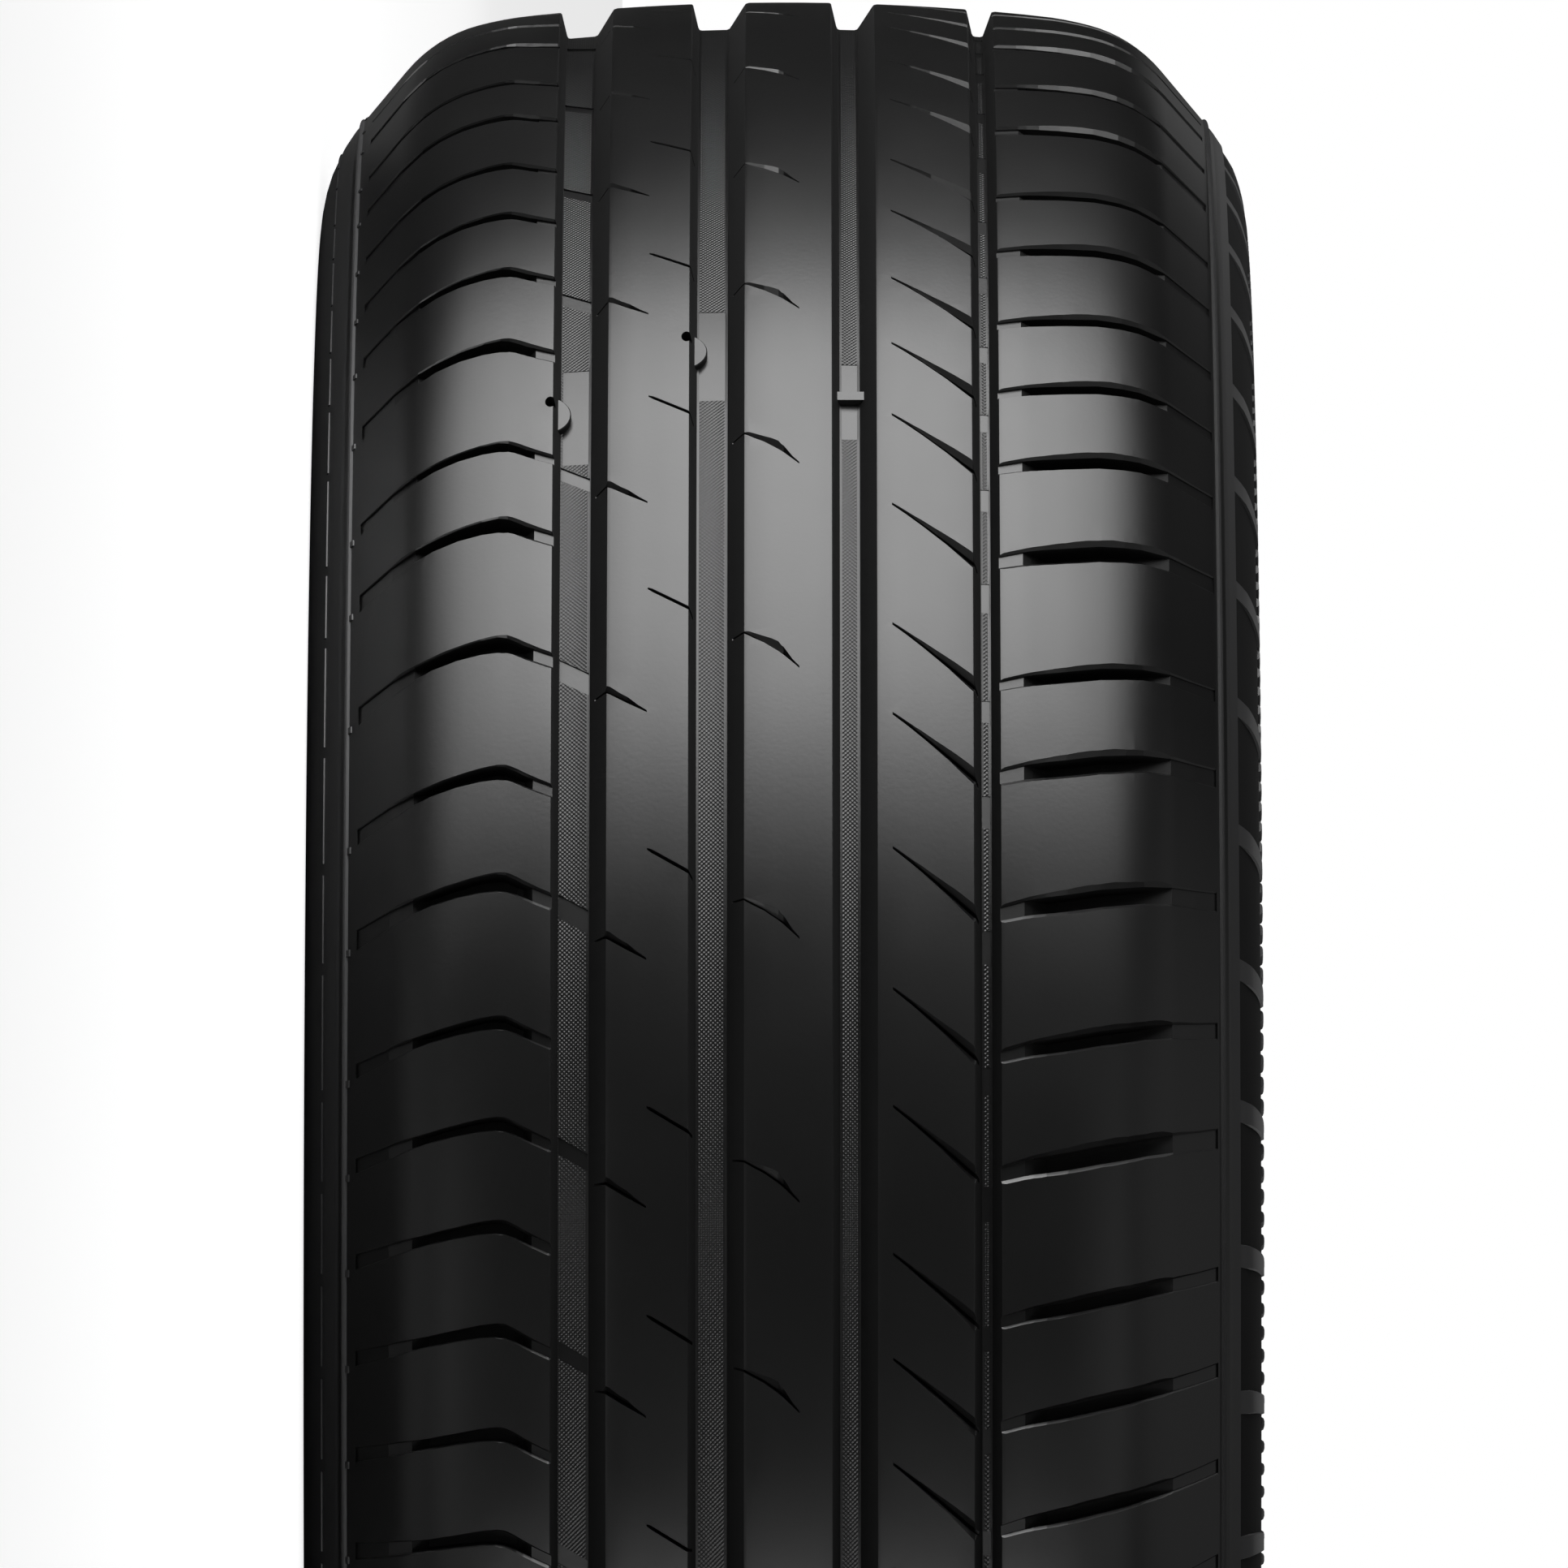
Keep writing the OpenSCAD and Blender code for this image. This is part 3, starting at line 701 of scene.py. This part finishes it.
def tyre_tree():
    """Turns the section round the axis and takes the tread's cuts out of it."""
    tree, start, end = group_tree("tyre_from_section", "GeometryNodeTree", {
        "Section": ("NodeSocketObject", None), "Segments": ("NodeSocketInt", SEGMENTS),
        "Ring Radius": ("NodeSocketFloat", RING_R * MM), "Cut Tools": ("NodeSocketCollection", None),
        "Cut Places": ("NodeSocketObject", None), "Wear Tools": ("NodeSocketCollection", None),
        "Wear Places": ("NodeSocketObject", None), "Mark Tools": ("NodeSocketCollection", None),
        "Mark Places": ("NodeSocketObject", None), "Rubber": ("NodeSocketMaterial", None),
    }, {"Geometry": "NodeSocketGeometry"})
    section = add(tree, "GeometryNodeObjectInfo", {"Object": start.outputs["Section"]})
    profile = add(tree, "GeometryNodeMeshToCurve", {"Mesh": section.outputs["Geometry"]})
    ring = add(tree, "GeometryNodeCurvePrimitiveCircle",
               {"Resolution": start.outputs["Segments"], "Radius": start.outputs["Ring Radius"]})
    upright = add(tree, "GeometryNodeSetCurveNormal", {"Curve": ring.outputs["Curve"]}, mode="Z_UP")
    body = add(tree, "GeometryNodeCurveToMesh",
               {"Curve": upright.outputs[0], "Profile Curve": profile.outputs[0]})
    outward = add(tree, "GeometryNodeFlipFaces", {"Mesh": body.outputs[0]})
    cuts = placed(tree, start.outputs["Cut Places"], start.outputs["Cut Tools"])
    carved = carve(tree, outward.outputs[0], cuts.outputs[0], "DIFFERENCE")
    marks = placed(tree, start.outputs["Mark Places"], start.outputs["Mark Tools"])
    marked = carve(tree, carved, marks.outputs[0], "DIFFERENCE")
    wear = placed(tree, start.outputs["Wear Places"], start.outputs["Wear Tools"])
    worn = carve(tree, marked, wear.outputs[0], "UNION")
    real = add(tree, "GeometryNodeRealizeInstances", {"Geometry": worn})
    coat = add(tree, "GeometryNodeSetMaterial",
               {"Geometry": real.outputs[0], "Material": start.outputs["Rubber"]})
    tree.links.new(coat.outputs[0], end.inputs[0])
    return tree


def ring_tree():
    """Puts small moulded pieces round the axis."""
    tree, start, end = group_tree("pieces_round_the_axis", "GeometryNodeTree", {
        "Pieces": ("NodeSocketCollection", None), "Places": ("NodeSocketObject", None),
        "Rubber": ("NodeSocketMaterial", None),
    }, {"Geometry": "NodeSocketGeometry"})
    ring = placed(tree, start.outputs["Places"], start.outputs["Pieces"])
    real = add(tree, "GeometryNodeRealizeInstances", {"Geometry": ring.outputs[0]})
    coat = add(tree, "GeometryNodeSetMaterial",
               {"Geometry": real.outputs[0], "Material": start.outputs["Rubber"]})
    tree.links.new(coat.outputs[0], end.inputs[0])
    return tree


# Materials

def grain_group():
    """Fine moulded grain and faint dust: a height, a roughness and a colour factor."""
    tree, start, end = group_tree("rubber_grain", "ShaderNodeTree", {
        "Grain Scale": ("NodeSocketFloat", 900.0), "Dust": ("NodeSocketFloat", 0.2),
        "Roughness": ("NodeSocketFloat", 0.36),
    }, {"Height": "NodeSocketFloat", "Roughness": "NodeSocketFloat", "Dust": "NodeSocketFloat"})
    place = add(tree, "ShaderNodeTexCoord")
    fine = add(tree, "ShaderNodeTexNoise", {"Vector": place.outputs["Object"],
                                            "Scale": start.outputs["Grain Scale"], "Detail": 2.0})
    broad = add(tree, "ShaderNodeTexNoise", {"Vector": place.outputs["Object"], "Scale": 14.0,
                                             "Detail": 4.0, "Roughness": 0.6})
    rough = add(tree, "ShaderNodeMath", {0: broad.outputs[0], 1: 0.1, 2: start.outputs["Roughness"]},
                operation="MULTIPLY_ADD")
    dust = add(tree, "ShaderNodeMath", {0: broad.outputs[0], 1: start.outputs["Dust"]},
               operation="MULTIPLY")
    tree.links.new(fine.outputs[0], end.inputs["Height"])
    tree.links.new(rough.outputs[0], end.inputs["Roughness"])
    tree.links.new(dust.outputs[0], end.inputs["Dust"])
    return tree


def knurl_group():
    """Fine lines that slant both ways, a whole number of them round the tyre."""
    tree, start, end = group_tree("floor_knurl", "ShaderNodeTree", {
        "Lines": ("NodeSocketFloat", 1900.0), "Slant": ("NodeSocketFloat", 5900.0),
        "Cross Slant": ("NodeSocketFloat", -5900.0),
    }, {"Height": "NodeSocketFloat"})
    place = add(tree, "ShaderNodeTexCoord")
    split = add(tree, "ShaderNodeSeparateXYZ", {0: place.outputs["Object"]})
    turn = add(tree, "ShaderNodeMath", {0: split.outputs["Y"], 1: split.outputs["X"]},
               operation="ARCTAN2")
    round_part = add(tree, "ShaderNodeMath", {0: turn.outputs[0], 1: start.outputs["Lines"]},
                     operation="MULTIPLY")
    across = add(tree, "ShaderNodeMath", {0: split.outputs["Z"], 1: start.outputs["Slant"],
                                          2: round_part.outputs[0]}, operation="MULTIPLY_ADD")
    wave = add(tree, "ShaderNodeMath", {0: across.outputs[0]}, operation="SINE")
    other = add(tree, "ShaderNodeMath", {0: split.outputs["Z"], 1: start.outputs["Cross Slant"],
                                         2: round_part.outputs[0]}, operation="MULTIPLY_ADD")
    cross = add(tree, "ShaderNodeMath", {0: other.outputs[0]}, operation="SINE")
    both = add(tree, "ShaderNodeMath", {0: cross.outputs[0], 1: 0.6, 2: wave.outputs[0]},
               operation="MULTIPLY_ADD")
    tree.links.new(both.outputs[0], end.inputs["Height"])
    return tree


def rubber(name, grain, knurl, level, roughness, shine, lines):
    """Black rubber with the grain group, and the knurl group where lines gives its values."""
    material = bpy.data.materials.new(name)
    material.use_nodes = True
    tree = material.node_tree
    shader = tree.nodes["Principled BSDF"]
    marks = add(tree, "ShaderNodeGroup", node_tree=grain)
    marks.inputs["Roughness"].default_value = roughness
    mix = tree.nodes.new("ShaderNodeMix")
    mix.data_type = "RGBA"
    mix.inputs[6].default_value = (level, level, level * 1.03, 1)
    mix.inputs[7].default_value = (0.02, 0.0197, 0.019, 1)
    tree.links.new(marks.outputs["Dust"], mix.inputs[0])
    tree.links.new(mix.outputs[2], shader.inputs["Base Color"])
    tree.links.new(marks.outputs["Roughness"], shader.inputs["Roughness"])
    shader.inputs["IOR"].default_value = 1.5
    shader.inputs["Specular IOR Level"].default_value = shine
    bump = add(tree, "ShaderNodeBump", {"Height": marks.outputs["Height"], "Strength": 0.25,
                                        "Distance": 0.00006})
    if lines:
        count, slant, height = lines
        crossed = add(tree, "ShaderNodeGroup", node_tree=knurl)
        crossed.inputs["Lines"].default_value = count
        crossed.inputs["Slant"].default_value = slant
        crossed.inputs["Cross Slant"].default_value = -slant
        bump = add(tree, "ShaderNodeBump", {"Height": crossed.outputs["Height"], "Strength": 1.0,
                                            "Distance": height, "Normal": bump.outputs[0]})
    tree.links.new(bump.outputs[0], shader.inputs["Normal"])
    return material


def make_rubbers():
    """Every rubber material by name; several carry painted light and shade in their level and shine."""
    grain, knurl = grain_group(), knurl_group()
    return {name: rubber(name + "_rubber", grain, knurl, *finish_and_painted_light) for name, finish_and_painted_light in FINISHES_AND_PAINTED_LIGHT.items()}


# Pieces

def section_object():
    """The section as a closed loop of edges, measured from the ring that carries it."""
    points = section_points()
    mesh = bpy.data.meshes.new("section")
    mesh.from_pydata([((r - RING_R) * MM, -z * MM, 0) for z, r in points],
                     [(i, (i + 1) % len(points)) for i in range(len(points))], [])
    return bpy.data.objects.new("section", mesh)


def face_regions(mesh):
    """The place in REGIONS of each face, and which faces are the sides of cuts."""
    count = len(mesh.polygons)
    centre, normal = np.empty(count * 3), np.empty(count * 3)
    mesh.polygons.foreach_get("center", centre)
    mesh.polygons.foreach_get("normal", normal)
    centre, normal = centre.reshape(-1, 3) / MM, normal.reshape(-1, 3)
    z, r = centre[:, 2], np.hypot(centre[:, 0], centre[:, 1])
    outward = (normal[:, 0] * centre[:, 0] + normal[:, 1] * centre[:, 1]) / r
    depth = np.interp(np.abs(z), [p[0] for p in TREAD], [p[1] for p in TREAD]) - r
    air = sorted((p[1], p[0]) for p in inner_points())
    air_half = np.interp(r - 0.3, [p[0] for p in air], [p[1] for p in air]) + 1.5

    above_foot, beside_rib = r > TREAD[-1][1], BUTTRESS_HALF - 2.8
    floor = (np.abs(z) < 56) & (np.abs(depth - TREAD_DEPTH) < 0.1) & (outward > 0.98)
    band = (r < BAND_TOP) & (r > TEETH_FOOT) & (z > 100) & (z < wall_z(BAND_TOP) + 8)
    in_groove = np.zeros(count, dtype=bool)
    for g in range(len(MAIN_GROOVES)):
        out_left, _, _, out_right = groove_edges(g)
        in_groove |= (z > out_left - 0.6) & (z < out_right + 0.9)
    wall = in_groove & (depth > 0.2) & (depth < TREAD_DEPTH - 0.3) & (outward < 0.9)
    cut = (np.abs(z) < 101) & (depth > 0.15) & (depth < TREAD_DEPTH - 0.5) & ~in_groove

    region = np.zeros(count, dtype=np.int32)
    for name, faces in (
            # The band's region takes painted shade from its material.
            ("knurled", floor), ("side", ~above_foot & (np.abs(z) > 60)), ("band", band),
            ("liner", (r > SEAT_R) & (r < AIR_TOP + 0.65) & (np.abs(z) < air_half)),
            # The walls' and deep cuts' regions take painted shade from their materials.
            ("wall", wall), ("cut", cut & (depth > 1.6)),
            # The left edge rib's region takes painted light from its material.
            ("left_rib_painted_light", (z < -beside_rib) & above_foot & (depth < -0.1)),
            # The right edge rib's region takes painted light from its material.
            ("rib", (z > beside_rib) & above_foot & (depth < -0.1))):
        region[faces] = REGIONS.index(name)
    return region, cut & (outward < 0.97)


def finish_tyre(tyre, rubbers):
    """Gives each region its material, and smooth faces with sharp edges."""
    mesh = tyre.data
    if signed_volume(mesh) < 0:
        mesh.flip_normals()
    mesh.materials.clear()
    for name in REGIONS:
        mesh.materials.append(rubbers[name])
    region, cut = face_regions(mesh)
    mesh.polygons.foreach_set("material_index", region)
    smooth(mesh, 24)
    mesh.polygons.foreach_set("use_smooth", ~cut)


def smooth(mesh, degrees):
    """Smooth faces, but for edges that turn by more than the given angle."""
    mesh.polygons.foreach_set("use_smooth", np.ones(len(mesh.polygons), dtype=bool))
    mesh.set_sharp_from_angle(angle=math.radians(degrees))
    mesh.update()


def make_tyre(rubbers):
    """The tyre: its section turned round the axis, with the tread's cuts and wear marks."""
    added, taken, patches = wear_tools()
    wear_collection, wear_places = wear_set("wear", added)
    mark_collection, mark_places = wear_set("mark", taken + patches)
    tyre = run_nodes("tyre_moulded", tyre_tree(), {
        "Wear Tools": wear_collection, "Wear Places": wear_places,
        "Mark Tools": mark_collection, "Mark Places": mark_places,
        "Section": section_object(), "Segments": SEGMENTS, "Ring Radius": RING_R * MM,
        "Cut Tools": cut_tools(), "Cut Places": cut_places(), "Rubber": rubbers["tread"],
    })
    finish_tyre(tyre, rubbers)
    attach(tyre, "root")
    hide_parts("tyre")


def side_piece(name, tree, pieces, places, material):
    """A ring of small moulded pieces on a sidewall."""
    made = run_nodes(name, tree, {"Pieces": pieces, "Places": places, "Rubber": material})
    made.data.materials.clear()
    made.data.materials.append(material)
    smooth(made.data, 30)
    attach(made, "root")


def make_side_marks(rubbers):
    """The rings of small pieces on both sidewalls."""
    right_side, right_places, left_side, left_places = side_places()
    ring = ring_tree()
    # The blades and teeth take a lighter rubber as painted light.
    side_piece("right_side_marks", ring, right_side, right_places, rubbers["blade"])
    side_piece("left_side_marks", ring, left_side, left_places, rubbers["side"])


# Studio

def white_world():
    """White where the camera and mirror images meet it, grey for all other light."""
    world = bpy.data.worlds.new("studio")
    bpy.context.scene.world = world
    world.use_nodes = True
    tree = world.node_tree
    tree.nodes.clear()
    path = add(tree, "ShaderNodeLightPath")
    some = add(tree, "ShaderNodeMath",
               {0: path.outputs["Is Camera Ray"], 1: path.outputs["Is Glossy Ray"]}, operation="MAXIMUM")
    seen = add(tree, "ShaderNodeMath", {0: some.outputs[0], 1: path.outputs["Is Transmission Ray"]},
               operation="MAXIMUM")
    level = add(tree, "ShaderNodeMapRange", {"Value": seen.outputs[0], "To Min": 0.5, "To Max": 1.0})
    shade = add(tree, "ShaderNodeBackground", {"Color": (1, 1, 1, 1), "Strength": level.outputs[0]})
    out = tree.nodes.new("ShaderNodeOutputWorld")
    tree.links.new(shade.outputs[0], out.inputs[0])


def plain_floor():
    """Pale matt floor, which is polished for mirrored rays only."""
    bpy.ops.mesh.primitive_plane_add(size=30, location=(0, 0, -HALF_W * MM))
    floor = bpy.context.object
    floor.name = "floor"
    material = bpy.data.materials.new("pale_floor")
    material.use_nodes = True
    tree = material.node_tree
    tree.nodes.clear()
    path = add(tree, "ShaderNodeLightPath")
    plain = add(tree, "ShaderNodeBsdfDiffuse", {"Color": (0.86, 0.86, 0.86, 1)})
    glow = add(tree, "ShaderNodeEmission", {"Strength": path.outputs["Is Camera Ray"],
                                            "Color": (0.8, 0.8, 0.8, 1)})
    both = add(tree, "ShaderNodeAddShader", {0: plain.outputs[0], 1: glow.outputs[0]})
    polish = add(tree, "ShaderNodeBsdfGlossy", {"Color": (0.9, 0.9, 0.9, 1), "Roughness": 0.22})
    shade = add(tree, "ShaderNodeMixShader", {0: path.outputs["Is Glossy Ray"], 1: both.outputs[0],
                                              2: polish.outputs[0]})
    out = tree.nodes.new("ShaderNodeOutputMaterial")
    tree.links.new(shade.outputs[0], out.inputs[0])
    floor.data.materials.append(material)


def softbox(name, place, aim, width, height, level):
    """A rectangular lamp whose surface has the given brightness."""
    data = bpy.data.lights.new(name, "AREA")
    data.shape = "RECTANGLE"
    data.size, data.size_y = width, height
    data.energy = level * math.pi * width * height
    lamp = bpy.data.objects.new(name, data)
    lamp.location = place
    lamp.rotation_euler = (Vector(aim) - Vector(place)).to_track_quat("-Z", "Y").to_euler()
    bpy.context.scene.collection.objects.link(lamp)


def light_the_studio():
    """The overhead lamps, whose mirror image makes the tread's highlight, and the other lamps."""
    for n, (long, wide, level) in enumerate(OVERHEADS):
        softbox("overhead_%d" % n, (-1.85 - 0.01 * n, -0.68, 0.0), (-0.2, -0.26, 0), long, wide, level)
    for lamp in LAMPS:
        softbox(*lamp)


def dark_walls(level):
    """Walls and ceiling of a dark studio, which only reflections and shaded light meet."""
    bpy.ops.mesh.primitive_cube_add(size=1, location=(0, 0, 3 - 2 * HALF_W * MM))
    walls = bpy.context.object
    walls.name = "dark_walls"
    walls.scale = (9, 24, 6)
    material = bpy.data.materials.new("dark_cloth")
    material.use_nodes = True
    tree = material.node_tree
    tree.nodes.clear()
    cloth = add(tree, "ShaderNodeEmission", {"Color": (level, level, level, 1), "Strength": 1.0})
    out = tree.nodes.new("ShaderNodeOutputMaterial")
    tree.links.new(cloth.outputs[0], out.inputs[0])
    walls.data.materials.append(material)
    walls.visible_camera = False


def photo_camera():
    """Square on to the tread, level with the axle, aimed a little above it as in the photo."""
    data = bpy.data.cameras.new("photo")
    data.sensor_width = 36
    data.lens = data.sensor_width * PHOTO_FOCAL_PX / PHOTO_SIZE_PX
    data.clip_end = 100
    camera = bpy.data.objects.new("photo", data)
    place, aim = Vector((0, -PHOTO_DISTANCE, 0)), Vector((PHOTO_AIM_X, 0, 0))
    back = (place - aim).normalized()
    right = Vector((0, 0, 1))
    up = back.cross(right)
    camera.matrix_world = Matrix.Translation(place) @ Matrix((right, up, back)).transposed().to_4x4()
    bpy.context.scene.collection.objects.link(camera)
    bpy.context.scene.camera = camera


# Assembly

rubbers = make_rubbers()
make_tyre(rubbers)
make_side_marks(rubbers)

plain_floor()
white_world()
dark_walls(WALL_LEVEL)
light_the_studio()
bpy.context.scene.view_settings.view_transform = "Standard"
photo_camera()
